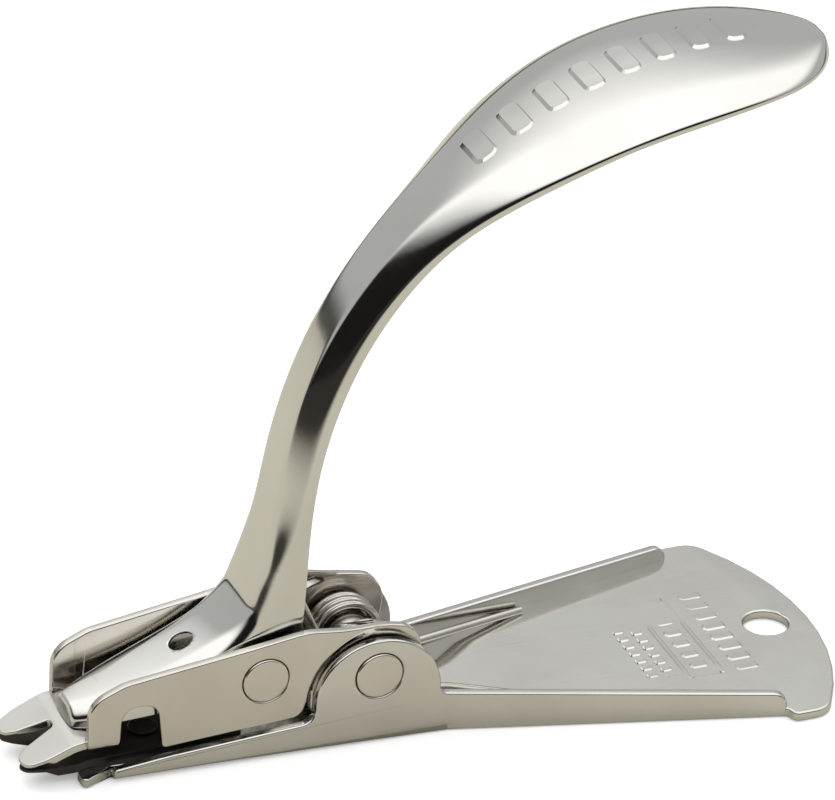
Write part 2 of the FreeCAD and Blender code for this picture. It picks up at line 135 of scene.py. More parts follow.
# %% Outlines with round corners
def rounded(corners, step=11.0):
    """Corners (u, v, radius) as a chain of points, each radius turned into short steps."""
    chain = []
    total = len(corners)
    for index, (u, v, radius) in enumerate(corners):
        here = Vector((u, v))
        if radius <= 0:
            chain.append(here)
            continue
        back = (Vector(corners[index - 1][:2]) - here).normalized()
        ahead = (Vector(corners[(index + 1) % total][:2]) - here).normalized()
        half = back.angle(ahead) / 2
        centre = here + (back + ahead).normalized() * (radius / math.sin(half))
        first = here + back * (radius / math.tan(half)) - centre
        last = here + ahead * (radius / math.tan(half)) - centre
        turn = first.angle_signed(last)
        steps = max(2, round(abs(math.degrees(turn)) / step))
        for number in range(steps + 1):
            angle = -turn * number / steps
            c, s = math.cos(angle), math.sin(angle)
            chain.append(centre + Vector((first.x * c - first.y * s, first.x * s + first.y * c)))
    return chain


def mirrored(half):
    """The same corners on the other side, in the order that closes the outline."""
    return [(x, -y, radius) for x, y, radius in reversed(half)]


print("a square with one round corner:", len(rounded([(0, 0, 1), (4, 0, 0), (4, 4, 0), (0, 4, 0)])), "points")

# %% Drawing and joining blanks
def draw_path(name, points):
    """A chain of edges drawn by extruding one point from place to place; left in edit mode."""
    bpy.ops.object.select_all(action="DESELECT")
    bpy.ops.mesh.primitive_plane_add(size=MM, location=(0, 0, 0))
    piece = bpy.context.object
    piece.name = name
    edit(piece)
    take_all()
    bpy.ops.mesh.merge(type="CENTER")
    bpy.ops.transform.translate(value=Vector(points[0]) * MM)
    for before, after in zip(points[:-1], points[1:]):
        move = (Vector(after) - Vector(before)) * MM
        bpy.ops.mesh.extrude_region_move(TRANSFORM_OT_translate={"value": move})
    take_all()
    return piece


def draw_blank(name, points):
    """A filled outline, in millimetres."""
    piece = draw_path(name, points)
    bpy.ops.mesh.edge_face_add()
    leave()
    return piece


def join(pieces):
    """Join blanks into one piece and weld the points they share."""
    only(pieces[0])
    for piece in pieces[1:]:
        piece.select_set(True)
    bpy.ops.object.join()
    piece = bpy.context.object
    edit(piece)
    take_all()
    bpy.ops.mesh.remove_doubles(threshold=0.02 * MM)
    leave()
    return piece


print("drawing helpers ready")

# %% Modifiers, holes and soft edges
def apply_modifier(piece, kind, name, **settings):
    """Add one modifier with its settings and apply it."""
    only(piece)
    bpy.ops.object.modifier_add(type=kind)
    modifier = piece.modifiers[-1]
    modifier.name = name
    for key, value in settings.items():
        setattr(modifier, key, value)
    bpy.ops.object.modifier_apply(modifier=modifier.name)


def drill(piece, place, radius, depth=THROUGH, turn=ACROSS, sides=56, solver="MANIFOLD"):
    """Cut one round hole with a boolean; the cutter stands at a place in millimetres."""
    bpy.ops.object.select_all(action="DESELECT")
    bpy.ops.mesh.primitive_cylinder_add(vertices=sides, radius=radius * MM, depth=depth * MM,
                                        location=Vector(place) * MM, rotation=turn)
    cutter = bpy.context.object
    apply_modifier(piece, "BOOLEAN", "hole", object=cutter, operation="DIFFERENCE", solver=solver)
    bpy.data.objects.remove(cutter)


def soften(piece, width, angle=35.0, segments=2, clamp=True):
    """Round the cut edges a little and give flat faces flat shading."""
    apply_modifier(piece, "BEVEL", "soft edges", width=width * MM, segments=segments,
                   limit_method="ANGLE", angle_limit=math.radians(angle), miter_outer="MITER_ARC",
                   use_clamp_overlap=clamp)
    only(piece)
    bpy.ops.object.shade_smooth_by_angle(angle=math.radians(60))
    apply_modifier(piece, "WEIGHTED_NORMAL", "face weights", keep_sharp=True, weight=60)


def facing(piece, inside):
    """Turn an open sheet so that its faces look away from a point inside it, in millimetres."""
    edit(piece)
    take_all()
    bpy.ops.mesh.normals_make_consistent(inside=False)
    leave()
    face = max(piece.data.polygons, key=lambda f: f.area)
    if (Vector(face.center) - Vector(inside) * MM).dot(face.normal) < 0:
        edit(piece)
        take_all()
        bpy.ops.mesh.flip_normals()
        leave()


def thicken(piece, thickness, **settings):
    """Give an open sheet its thickness, inwards from the drawn skin."""
    apply_modifier(piece, "SOLIDIFY", "sheet", thickness=thickness * MM, offset=-1,
                   use_even_offset=True, **settings)


def report(piece):
    corners = [Vector(v.co) / MM for v in piece.data.vertices]
    low = [round(min(c[i] for c in corners), 1) for i in range(3)]
    high = [round(max(c[i] for c in corners), 1) for i in range(3)]
    print(piece.name, len(piece.data.polygons), "faces, from", low, "to", high)


print("shaping helpers ready")

# %% [markdown]
# ## Base stamping
# The base is one blank folded along four lines: two narrow flanges with round hinge ears in front,
# and two that splay outwards behind the hinge. It could be solid plates put together, but a fold has
# a round back, so the blanks share their fold edges and those edges are bevelled before the sheet
# gets its thickness inwards.

# %% Base: outline of the web
TIP_X, FLANGE_X, BEND_X, REAR_X = -60.5, -54.0, 15.0, 80.5
FRONT_HALF, HINGE_HALF, SLOT_HALF = 11.5, 14.2, 7.5
SPLAY = math.radians(14.4)
ARC_RADIUS, ARC_REACH = 57.0, 31.0
REAR_HALF = HINGE_HALF + (REAR_X - BEND_X) * math.tan(SPLAY)


def base_side(x):
    """Half width of the base in front of the hinge."""
    return FRONT_HALF + (HINGE_HALF - FRONT_HALF) * (x - TIP_X) / (BEND_X - TIP_X)


arc_swing = math.asin(ARC_REACH / ARC_RADIUS)
arc_end = TAIL_X - ARC_RADIUS + ARC_RADIUS * math.cos(arc_swing)
arc_rise = FOOT_HALF - ARC_RADIUS * math.sin(arc_swing)
half_web = [
    (TIP_X, base_side(TIP_X), 1.2),
    (FLANGE_X, base_side(FLANGE_X), 0),
    (BEND_X, HINGE_HALF, 0),
    (REAR_X, REAR_HALF, 0),
    (REAR_X + 0.8, FOOT_HALF, 1.6),
    (arc_end - arc_rise * math.tan(arc_swing), FOOT_HALF, 5.0),
    (TAIL_X, ARC_RADIUS * math.tan(arc_swing / 2), ARC_RADIUS - 0.1),
]
slot = [(TIP_X, -SLOT_HALF, 1.2), (-49.0, -SLOT_HALF, 2.0), (-49.0, SLOT_HALF, 2.0), (TIP_X, SLOT_HALF, 1.2)]
web_outline = mirrored(half_web) + slot + half_web
base = draw_blank("base_stamping", [(p.x, p.y, 0) for p in rounded(web_outline, 6.0)])
print("web outline:", len(base.data.vertices), "points")

# %% Base: outlines of the flanges
EAR_REACH, EAR_TOP, EAR_RADIUS = 13.0, 23.0, 12.8
REAR_LENGTH = 67.6
front_outline = [
    (FLANGE_X, 0, 0),
    (FLANGE_X, 2.9, 0),
    (-42.8, 4.3, 8.0),
    (-EAR_REACH, 6.7, 3.0),
    (-EAR_REACH, EAR_TOP, EAR_RADIUS),
    (EAR_REACH, EAR_TOP, EAR_RADIUS),
    (EAR_REACH, 8.9, 1.6),
    (BEND_X, 8.5, 0),
    (BEND_X, 0, 0),
]
rear_outline = [(0, 0, 0), (0, 8.5, 0), (REAR_LENGTH, 5.2, 3.0), (REAR_LENGTH, 0, 0)]
flanges = []
for side in (-1, 1):
    points = [(p.x, side * base_side(p.x), p.y) for p in rounded(front_outline, 7.0)]
    flanges.append(draw_blank("front_flange", points))
    points = [(BEND_X + p.x * math.cos(SPLAY), side * (HINGE_HALF + p.x * math.sin(SPLAY)), p.y)
              for p in rounded(rear_outline)]
    flanges.append(draw_blank("rear_flange", points))
base = join([base] + flanges)
print("base blanks share", len(base.data.vertices), "points")

# %% Base: fold, thicken, drill and soften
BASE_FOLD, HANG_HOLE = 2.6, (90.1, 0, 1.0)


def on_fold(edge):
    a, b = (v.co / MM for v in edge.verts)
    if max(abs(a.z), abs(b.z)) > 0.01 or abs(a.y) < 11 or abs(b.y) < 11:
        return False
    low, high = sorted((a.x, b.x))
    return any(abs(low - start) < 0.1 and abs(high - end) < 0.1
               for start, end in ((FLANGE_X, BEND_X), (BEND_X, REAR_X)))


edit(base)
print("fold lines:", pick(base, on_fold, "EDGE"))
bpy.ops.mesh.bevel(offset=BASE_FOLD * MM, segments=6, profile=0.5, affect="EDGES", clamp_overlap=False)
leave()
facing(base, (10, 0, 8))
thicken(base, BASE_SHEET)
drill(base, PIVOT_PIN, 4.95, solver="EXACT")
drill(base, HANG_HOLE, 4.6, 10.0, (0, 0, 0))
soften(base, 0.45, 32.0, 3, clamp=False)
report(base)

# %% [markdown]
# ## Upper jaw
# The jaw is a channel: two side plates joined by a web only at the front, which runs on as the forked
# blade. Its plates lie flush with the base in front, then step inwards round the ears. The flush part
# and the hinge lobe are drawn apart and bridged along the arc, which gives the pressed step.

# %% Jaw: widths and the arc of the step
JAW_TIP_X, WEB_X, WEB_Z = -59.5, -53.0, 7.9
STEP_OUT, STEP_IN, STEP_Z = 15.0, 13.7, 10.0


def jaw_side(x):
    """Half width of the jaw's flush part."""
    return 11.4 + 0.0213 * (x - JAW_TIP_X)


def step_arc(radius, start=80.0, end=168.0, count=14):
    """Points of the step round the ears, in the side view."""
    points = []
    for number in range(count + 1):
        angle = math.radians(start + (end - start) * number / count)
        points.append(Vector((radius * math.cos(angle), STEP_Z + radius * math.sin(angle))))
    return points


outer_arc, inner_arc = step_arc(STEP_OUT), step_arc(STEP_IN)
print("step arcs of", len(outer_arc), "points each")

# %% Jaw: outlines of the side plates
top_chain = rounded([
    (JAW_TIP_X, WEB_Z, 0), (JAW_TIP_X, 18.6, 5.6), (-52.0, 21.8, 7.0), (-27.4, 25.1, 30.0),
    (-15.0, 27.0, 14.0), (2.6, 25.0, 0), (-15.0, STEP_Z, 0),
], 8.0)[:-2]
heel = [(-14.67, 13.1, 0), (-15.3, 8.2, 2.9)]
window_bottom = rounded(heel + [
    (-44.3, 6.2, 0.9), (-45.4, 16.4, 3.2), (-52.6, 16.4, 3.2), (WEB_X, WEB_Z, 0),
], 9.0)[1:-1]
plain_bottom = rounded(heel + [(-44.3, 6.2, 4.0), (-52.7, 7.5, 0), (WEB_X, WEB_Z, 0)], 9.0)[1:-1]
lobe_chain = rounded([
    (inner_arc[-1].x, inner_arc[-1].y, 0), (-13.4, 8.6, 1.0), (-11.0, 5.4, 3.0), (8.2, 4.6, 8.0),
    (10.2, 19.8, 7.0), (6.8, 23.9, 4.5), (outer_arc[0].x, outer_arc[0].y, 0),
], 9.0)[1:]
plates = []
for side, bottom in ((-1, window_bottom), (1, plain_bottom)):
    chain = top_chain + outer_arc + bottom + [Vector((WEB_X, WEB_Z))]
    plates.append(draw_blank("flush_plate", [(p.x, side * jaw_side(p.x), p.y) for p in chain]))
    plates.append(draw_blank("hinge_lobe", [(p.x, side * LOBE_HALF, p.y) for p in inner_arc + lobe_chain]))
web = draw_blank("jaw_web", [(x, side * jaw_side(x), WEB_Z) for x, side in (
    (JAW_TIP_X, -1), (WEB_X, -1), (WEB_X, 1), (JAW_TIP_X, 1))])
jaw = join([web] + plates)
print("jaw blanks share", len(jaw.data.vertices), "points")

# %% Jaw: draw the flush plates in towards the lobes at their rear end
DRAW_FROM, DRAW_LENGTH = -9.5, 12.1


def cut_at(places):
    """In edit mode, cut the whole mesh across at each x, in millimetres."""
    for place in places:
        take_all()
        bpy.ops.mesh.bisect(plane_co=(place * MM, 0, 0), plane_no=(1, 0, 0))


edit(jaw)
cut_at((-9.0, -7.5, -6.0, -4.5, -3.0, -1.5, 0.0, 1.4))
leave()
spots = sorted({round(v.co.x / MM, 3) for v in jaw.data.vertices
                if v.co.x > DRAW_FROM * MM and abs(v.co.y) > (LOBE_HALF + 0.2) * MM})
edit(jaw)
for spot in spots:
    share = min(1.0, (spot - DRAW_FROM) / DRAW_LENGTH)
    share = share * share * (3 - 2 * share)
    for side in (-1, 1):
        shift = (LOBE_HALF - jaw_side(spot)) * share * side
        if pick(jaw, lambda v: abs(v.co.x / MM - spot) < 0.002 and v.co.y * side > (LOBE_HALF + 0.15) * MM):
            bpy.ops.transform.translate(value=(0, shift * MM, 0))
take_all()
bpy.ops.mesh.remove_doubles(threshold=0.02 * MM)
leave()
print("drawn in at", len(spots), "places")

# %% Jaw: press the step and fold the web
JAW_FOLD = 1.7


def step_reach(point):
    """Distance from the centre of the step's arcs, in the side view."""
    return math.hypot(point.x, point.z - STEP_Z)


def on_step(edge):
    a, b = (v.co / MM for v in edge.verts)
    for p in (a, b):
        if abs(p.y) < 11 or p.z < STEP_Z - 0.1:
            return False
        if min(abs(step_reach(p) - STEP_OUT), abs(step_reach(p) - STEP_IN)) > 0.05:
            return False
    return abs(step_reach(a) - step_reach(b)) < 0.05 and (a - b).length < 3


def on_web_fold(edge):
    a, b = (v.co / MM for v in edge.verts)
    flat = abs(a.z - WEB_Z) < 0.02 and abs(b.z - WEB_Z) < 0.02
    return flat and abs(abs(a.x - b.x) - (WEB_X - JAW_TIP_X)) < 0.05


edit(jaw)
for side in (-1, 1):
    found = pick(jaw, lambda edge: on_step(edge) and edge.verts[0].co.y * side > 0, "EDGE")
    bpy.ops.mesh.bridge_edge_loops(number_cuts=0)
    print("step edges", found)
print("web folds:", pick(jaw, on_web_fold, "EDGE"))
bpy.ops.mesh.bevel(offset=JAW_FOLD * MM, segments=5, profile=0.5, affect="EDGES", clamp_overlap=False)
leave()

# %% Jaw: thicken, drill and soften
facing(jaw, (-30, 0, 15))
thicken(jaw, JAW_SHEET)
drill(jaw, PIVOT_PIN, 5.1)
drill(jaw, FRONT_PIN, 4.8)
soften(jaw, 0.4, 32.0, 3, clamp=False)
report(jaw)

# %% [markdown]
# ## Forked blade
# The blade is the web's tongue, bent down by about twenty-two degrees and ground thin at its two
# tips. It is drawn flat, thickened, folded at the bend by turning everything in front of it, and the
# underside of the tips is lifted, which is what the grinding does.

# %% Blade: outline and thickness
def draw_plate(name, outline, height, thickness):
    """A flat plate: an outline at one height, raised to its thickness; left in edit mode."""
    piece = draw_blank(name, [(p.x, p.y, height) for p in outline])
    edit(piece)
    take_all()
    bpy.ops.mesh.extrude_region_move(TRANSFORM_OT_translate={"value": (0, 0, thickness * MM)})
    take_all()
    bpy.ops.mesh.normals_make_consistent(inside=False)
    return piece


half_blade = [
    (-54.0, 10.0, 0), (-60.6, 10.15, 0), (-67.8, 9.9, 5.0), (-71.9, 8.7, 2.8), (-72.4, 4.6, 2.2),
    (-69.6, 2.9, 2.0), (-62.9, 1.15, 1.1),
]
blade = draw_plate("forked_blade", rounded(half_blade + mirrored(half_blade), 10.0), WEB_Z, JAW_SHEET)

# %% Blade: grind the tips, bend and soften
BENDS, BEND_STEP, GRIND = (-59.6, -60.3, -61.0, -61.7, -62.4), 4.5, 0.95
cut_at(BENDS + (-66.5,))
pick(blade, lambda v: v.co.x < -66.6 * MM and v.co.z < (WEB_Z + 0.3) * MM)
bpy.ops.transform.translate(value=(0, 0, GRIND * MM))
for place in BENDS:
    pick(blade, lambda v: v.co.x < (place + 0.02) * MM)
    bpy.ops.transform.rotate(value=math.radians(BEND_STEP), orient_axis="Y",
                             center_override=(place * MM, 0, (WEB_Z + JAW_SHEET / 2) * MM))
leave()
print("bent down by", BEND_STEP * len(BENDS), "degrees")
soften(blade, 0.34, 32.0, 3)
report(blade)

# %% [markdown]
# ## Handle
# The handle is one long stamping: a beak that presses on the jaw, a curved neck and a broad thumb
# pad, all with their edges turned down. One cross-section is drawn and carried along the tool station
# by station, each point being moved to its place, as when a lofted form is shaped against a side
# drawing. The skin then gets its sheet thickness inwards.

# %% Handle: the side drawing, as top x and z, half width, and lower edge x and z
STATIONS = [
    (-60.6, 14.0, 4.2, -60.8, 9.9), (-59.8, 14.2, 4.8, -60.0, 9.9), (-57.0, 15.0, 6.2, -57.2, 10.0),
    (-52.0, 16.4, 8.0, -51.5, 11.6), (-43.0, 19.5, 9.2, -42.5, 12.6), (-35.0, 22.9, 9.25, -34.0, 13.6),
    (-29.5, 26.0, 9.3, -27.5, 11.4), (-25.6, 30.4, 9.3, -20.6, 11.4), (-24.9, 31.6, 9.3, -19.2, 12.0),
    (-24.2, 33.6, 9.3, -17.6, 14.0), (-22.6, 38.0, 9.2, -15.4, 21.0), (-21.2, 43.0, 9.0, -14.4, 31.0),
    (-20.2, 50.0, 8.8, -14.0, 47.5), (-18.4, 62.0, 8.5, -12.3, 60.5), (-15.6, 73.0, 8.3, -9.4, 71.0),
    (-11.6, 83.5, 8.3, -5.5, 81.0), (-5.8, 94.0, 8.7, -0.2, 90.8), (1.9, 104.4, 9.8, 6.8, 100.6),
    (10.4, 112.8, 12.0, 14.2, 108.7), (20.4, 120.4, 16.0, 23.3, 116.0), (31.6, 126.8, 19.2, 33.4, 122.0),
    (43.6, 131.7, 21.0, 44.6, 127.2), (56.0, 134.8, 21.5, 56.4, 129.8), (68.6, 136.2, 20.9, 68.7, 132.0),
    (79.0, 136.4, 18.2, 79.1, 132.6), (85.8, 136.2, 13.8, 85.9, 132.9), (90.2, 136.0, 8.2, 90.3, 133.2),
    (92.2, 135.7, 3.4, 92.4, 133.5),
]
print("handle stations:", len(STATIONS))

# %% Handle: one section
def section(x, z, half, low_x, low_z):
    """Eleven points across the handle at one station, in millimetres."""
    drop = Vector((low_x - x, 0, low_z - z))
    depth = drop.length
    drop.normalize()
    bend = 3.0 if half > 14 else 3.7 if z > 45 else 2.2
    bend = min(bend, depth * 0.66, half * 0.45)
    swell = 0.98
    if z > 95:
        swell = 1.0 + 0.75 * max(0.0, 1.0 - abs(x - 22.0) / 26.0)
    crown = 2.0 if half > 15 else 0.35 + 1.65 * max(0.0, (half - 9.5) / 5.5)
    skirt = (depth, bend + (depth - bend) * 0.45, bend)
    side = [(half, down + crown * 0.45 * (1 - down / depth)) for down in skirt]
    side += [(half - bend * swell, crown * 0.42), (half * 0.5, crown * 0.1)]
    near = [Vector((x, -out, z)) + drop * down for out, down in side]
    far = [Vector((x, out, z)) + drop * down for out, down in reversed(side)]
    return near + [Vector((x, 0, z))] + far


first, last = section(*STATIONS[0]), section(*STATIONS[-1])
print("points in a section:", len(first))

# %% Handle: carry the section along the stations
def fresh_mesh(piece):
    """The mesh as it is now in edit mode, ready to be read by point number."""
    mesh = bmesh.from_edit_mesh(piece.data)
    mesh.verts.ensure_lookup_table()
    return mesh


handle = draw_path("handle_stamping", first)
previous = first
for station in STATIONS[1:]:
    bpy.ops.mesh.extrude_region_move(TRANSFORM_OT_translate={"value": (0, 0, 0)})
    mesh = fresh_mesh(handle)
    moved = [v for v in mesh.verts if v.select]
    fresh = [min(moved, key=lambda v: (v.co / MM - point).length).index for point in previous]
    previous = section(*station)
    for index, target in zip(fresh, previous):
        mesh = fresh_mesh(handle)
        bpy.ops.mesh.select_all(action="DESELECT")
        mesh.verts[index].select_set(True)
        bpy.ops.transform.translate(value=target * MM - mesh.verts[index].co)
    mesh = fresh_mesh(handle)
    for index in fresh:
        mesh.verts[index].select_set(True)
    mesh.select_flush_mode()
leave()
print("handle cage", len(handle.data.vertices), "points", len(handle.data.polygons), "faces")

# %% Handle: close both ends, smooth, thicken and drill the toe hole
TOE_HOLE = (-36.4, 0, 21.9)
edit(handle)
for end in (first, last):
    pick(handle, lambda v: any((v.co / MM - p).length < 0.05 for p in end))
    bpy.ops.mesh.edge_face_add()
leave()
facing(handle, (0, 0, 60))
apply_modifier(handle, "SUBSURF", "smooth skin", levels=3, render_levels=3)
thicken(handle, HANDLE_SHEET, thickness_clamp=1.0)
drill(handle, TOE_HOLE, 2.6, 9.0, (0, math.radians(-28), 0), 40, "EXACT")
apply_modifier(handle, "BEVEL", "soft edges", width=0.35 * MM, segments=2, limit_method="ANGLE",
               angle_limit=math.radians(48))
only(handle)
bpy.ops.object.shade_smooth_by_angle(angle=math.radians(40))
report(handle)

# %% [markdown]
# ## Hardened tongue and its rivets
# A steel tongue lies in the base under the blade and slides under the staple first. It and its rivets
# are painted near black, which is painted shade and dark reflection under the blade. It is a flat strip
# with a forked front, so an outline with thickness is enough, its tips lifted underneath as if ground,
# and two small rivets hold it to the web.

# %% Tongue
TONGUE_Z, TONGUE_GRIND = 2.08, 1.2
low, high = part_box("lower_tongue")
reach, back = low[0] / MM, high[0] / MM
half_tongue = [
    (back, 7.4, 1.0), (-58.0, 7.6, 3.0), (-61.0, 8.6, 3.0), (-67.0, 8.4, 6.0), (-71.0, 7.4, 2.2),
    (reach + 0.3, 5.2, 1.6), (-69.6, 3.4, 0.9), (-60.5, 1.6, 1.4),
]
tongue_outline = rounded(half_tongue + mirrored(half_tongue), 12.0)
tongue = draw_plate("lower_tongue_steel", tongue_outline, TONGUE_Z, TONGUE_SHEET)
cut_at([-64.5])
pick(tongue, lambda v: v.co.x < -66.0 * MM and v.co.z < 2.5 * MM)
bpy.ops.transform.translate(value=(0, 0, TONGUE_GRIND * MM))
leave()
soften(tongue, 0.16)
report(tongue)

# %% Rivets
def rivet(name, place, radius, length, turn=(0, 0, 0)):
    """A short round bar with a softened rim, turned and then moved to its place."""
    bpy.ops.object.select_all(action="DESELECT")
    bpy.ops.mesh.primitive_cylinder_add(vertices=72, radius=radius * MM, depth=length * MM)
    piece = bpy.context.object
    piece.name = name
    edit(piece)
    pick(piece, lambda f: abs(f.normal.z) > 0.9, "FACE")
    bpy.ops.mesh.inset(thickness=0.5 * MM, depth=0)
    take_all()
    if turn[0]:
        bpy.ops.transform.rotate(value=turn[0], orient_axis="X", center_override=(0, 0, 0))
    bpy.ops.transform.translate(value=Vector(place) * MM)
    leave()
    soften(piece, 0.38, 50.0, 4)
    report(piece)
    return piece


front_rivet = rivet("front_rivet_flush", FRONT_PIN, 4.7, 2 * 12.3, ACROSS)
pivot_rivet = rivet("pivot_rivet_flush", PIVOT_PIN, 4.85, 2 * 13.78, ACROSS)
tongue_rivets = [rivet("tongue_rivet_" + label, (x, 0, 4.2), 3.0, 0.8)
                 for label, x in (("front", -44.0), ("rear", -31.0))]

# %% [markdown]
# ## Return spring
# Round wire is coiled round the hinge rivet. A spring is a path with a round section, so the path is
# drawn point by point, turned into a curve and given the wire's thickness. The coils and rear legs stay
# with the base. The front loop is pushed by the handle, so it is a piece of its own on the jaw.

# %% Spring: radii, pitch and angles
WIRE, COIL, PITCH = 0.84, 6.25, 1.785
LEG_ANGLE, ARM_ANGLE = math.radians(97.5), math.radians(204)
TURNS = 3.0 + 58.5 / 360.0
COIL_OUT = LOBE_HALF - JAW_SHEET - 0.85 - 0.35
LEAD = PITCH / (2 * math.pi * COIL)
SPLIT = 0.95


def coil_point(share, side):
    """A point of the coil; share runs from 0 at the rear leg to 1 at the front arm."""
    angle = -LEG_ANGLE - share * TURNS * 2 * math.pi
    out = COIL_OUT - PITCH * TURNS * share
    return Vector((COIL * math.cos(angle), side * out, PIVOT_Z + COIL * math.sin(angle)))


print("coil starts", round(COIL_OUT, 2), "and ends", round(COIL_OUT - PITCH * TURNS, 2), "from the middle")

# %% Spring: bends and wire
def bend_round(corners, radius):
    """Smooth the inner corners of a wire path with a few points each."""
    path = [corners[0]]
    for before, here, after in zip(corners[:-2], corners[1:-1], corners[2:]):
        a = here + (before - here).normalized() * radius
        b = here + (after - here).normalized() * radius
        for number in range(7):
            t = number / 6
            path.append(a * (1 - t) ** 2 + here * 2 * t * (1 - t) + b * t ** 2)
    path.append(corners[-1])
    return path


def wire(name, points):
    """Round wire along a path of points, in millimetres."""
    only(draw_path(name, points))
    bpy.ops.object.convert(target="CURVE")
    piece = bpy.context.object
    piece.data.bevel_depth = WIRE * MM
    piece.data.bevel_resolution = 5
    piece.data.use_fill_caps = True
    bpy.ops.object.convert(target="MESH")
    piece = bpy.context.object
    piece.name = name
    edit(piece)
    take_all()
    bpy.ops.mesh.remove_doubles(threshold=0.005 * MM)
    bpy.ops.mesh.normals_make_consistent(inside=False)
    leave()
    bpy.ops.object.shade_smooth_by_angle(angle=math.radians(50))
    report(piece)
    return piece


# %% Spring: two coils with their rear legs
LEG_LENGTH, LEG_FOOT = 18.0, (44.0, 18.4, 3.15)
coils = []
for side, label in ((-1, "near"), (1, "far")):
    start = coil_point(0, side)
    slope = Vector((math.sin(LEG_ANGLE), side * LEAD, math.cos(LEG_ANGLE))).normalized()
    foot = Vector((LEG_FOOT[0], side * LEG_FOOT[1], LEG_FOOT[2]))
    leg = bend_round([foot, start + slope * LEG_LENGTH, start + slope * 0.5], 1.6)
    turns = [coil_point(SPLIT * n / 108, side) for n in range(109)]
    coils.append(wire("spring_coils_" + label, leg + turns))

# %% Spring: front loop
ARM_LENGTH = 26.0
arms = []
for side in (-1, 1):
    points = [coil_point(SPLIT + (1 - SPLIT) * n / 6, side) for n in range(7)]
    way = Vector((math.sin(ARM_ANGLE), -side * LEAD, -math.cos(ARM_ANGLE))).normalized()
    arms.append((points, points[-1] + way * ARM_LENGTH))
(near_points, near_end), (far_points, far_end) = arms
corner = bend_round([near_points[-1], near_end, far_end, far_points[-1]], 1.9)
front_loop = wire("spring_front_loop", near_points[:-1] + corner + list(reversed(far_points[:-1])))

# %% [markdown]
# ## Pressed marks
# The pad and the foot plate carry raised pressed marks. Plain bars and a plain frame stand in for them.
# They are drawn flat and given a low height. The pad is curved, so its bars are first laid on it with a
# shrinkwrap, and the foot plate is flat, so its bars are drawn just inside its top face.

# %% Marks: one bar and a row of bars
MARK_Z, ABOVE_PAD = BASE_SHEET - 0.02, 150.0


def bar_shape(x, y, length, width):
    """Corners of one plain bar with round ends."""
    radius = min(length, width) * 0.4
    return [(x + u * length / 2, y + v * width / 2, radius) for u, v in ((-1, -1), (1, -1), (1, 1), (-1, 1))]


def draw_bar(name, corners, height, rim):
    """One flat bar with a rim round it, cut across so that it can follow a curved surface."""
    piece = draw_blank(name, [(p.x, p.y, height) for p in rounded(corners, 22.0)])
    edit(piece)
    take_all()
    bpy.ops.mesh.inset(thickness=rim * MM, depth=0)
    middle = sum(c[1] for c in corners) / len(corners)
    reach = max(c[1] for c in corners) - middle
    for share in (-0.66, -0.33, 0.0, 0.33, 0.66):
        take_all()
        bpy.ops.mesh.bisect(plane_co=(0, (middle + share * reach) * MM, 0), plane_no=(0, 1, 0))
    take_all()
    return piece


def bar_row(name, corners, count, step, rim, height, target=None):
    """One bar, copied along a row, laid on the surface below if there is one, and raised a little."""
    piece = draw_bar(name, corners, ABOVE_PAD if target else MARK_Z, rim)
    for _ in range(count - 1):
        bpy.ops.mesh.duplicate_move(TRANSFORM_OT_translate={"value": (step[0] * MM, step[1] * MM, 0)})
    leave()
    if target:
        apply_modifier(piece, "SHRINKWRAP", "lay down", target=target, wrap_method="PROJECT",
                       use_project_z=True, use_negative_direction=True, use_positive_direction=True,
                       use_project_x=False, use_project_y=False)
    edit(piece)
    take_all()
    bpy.ops.mesh.normals_make_consistent(inside=False)
    if min(f.normal.z for f in bmesh.from_edit_mesh(piece.data).faces) < 0:
        take_all()
        bpy.ops.mesh.flip_normals()
    pick(piece, lambda f: all(not e.is_boundary for e in f.edges), "FACE")
    bpy.ops.transform.translate(value=(0, 0, height * MM))
    leave()
    only(piece)
    bpy.ops.object.shade_smooth_by_angle(angle=math.radians(12))
    report(piece)
    return piece


# %% Marks: the rows on the pad and on the foot plate
marks = [
    bar_row("pad_bars", bar_shape(21.5, 1.0, 4.4, 10.5), 8, (7.55, 0.5), 0.5, 0.5, handle),
    bar_row("foot_frame_long", bar_shape(66.8, 0.0, 1.2, 30.0), 2, (7.2, 0.0), 0.35, 0.28),
    bar_row("foot_frame_short", bar_shape(70.4, -14.6, 6.4, 1.2), 2, (0.0, 29.2), 0.35, 0.28),
    bar_row("foot_frame_bars", bar_shape(70.4, -10.5, 3.8, 2.4), 6, (0.0, 4.2), 0.4, 0.28),
    bar_row("foot_large_bars", bar_shape(79.4, -14.0, 5.0, 2.6), 8, (0.0, 4.0), 0.4, 0.28),
    bar_row("foot_small_bars_a", bar_shape(63.6, -13.0, 2.4, 1.5), 10, (0.0, 2.9), 0.3, 0.25),
    bar_row("foot_small_bars_b", bar_shape(60.0, -11.5, 2.4, 1.5), 9, (0.0, 2.9), 0.3, 0.25),
]
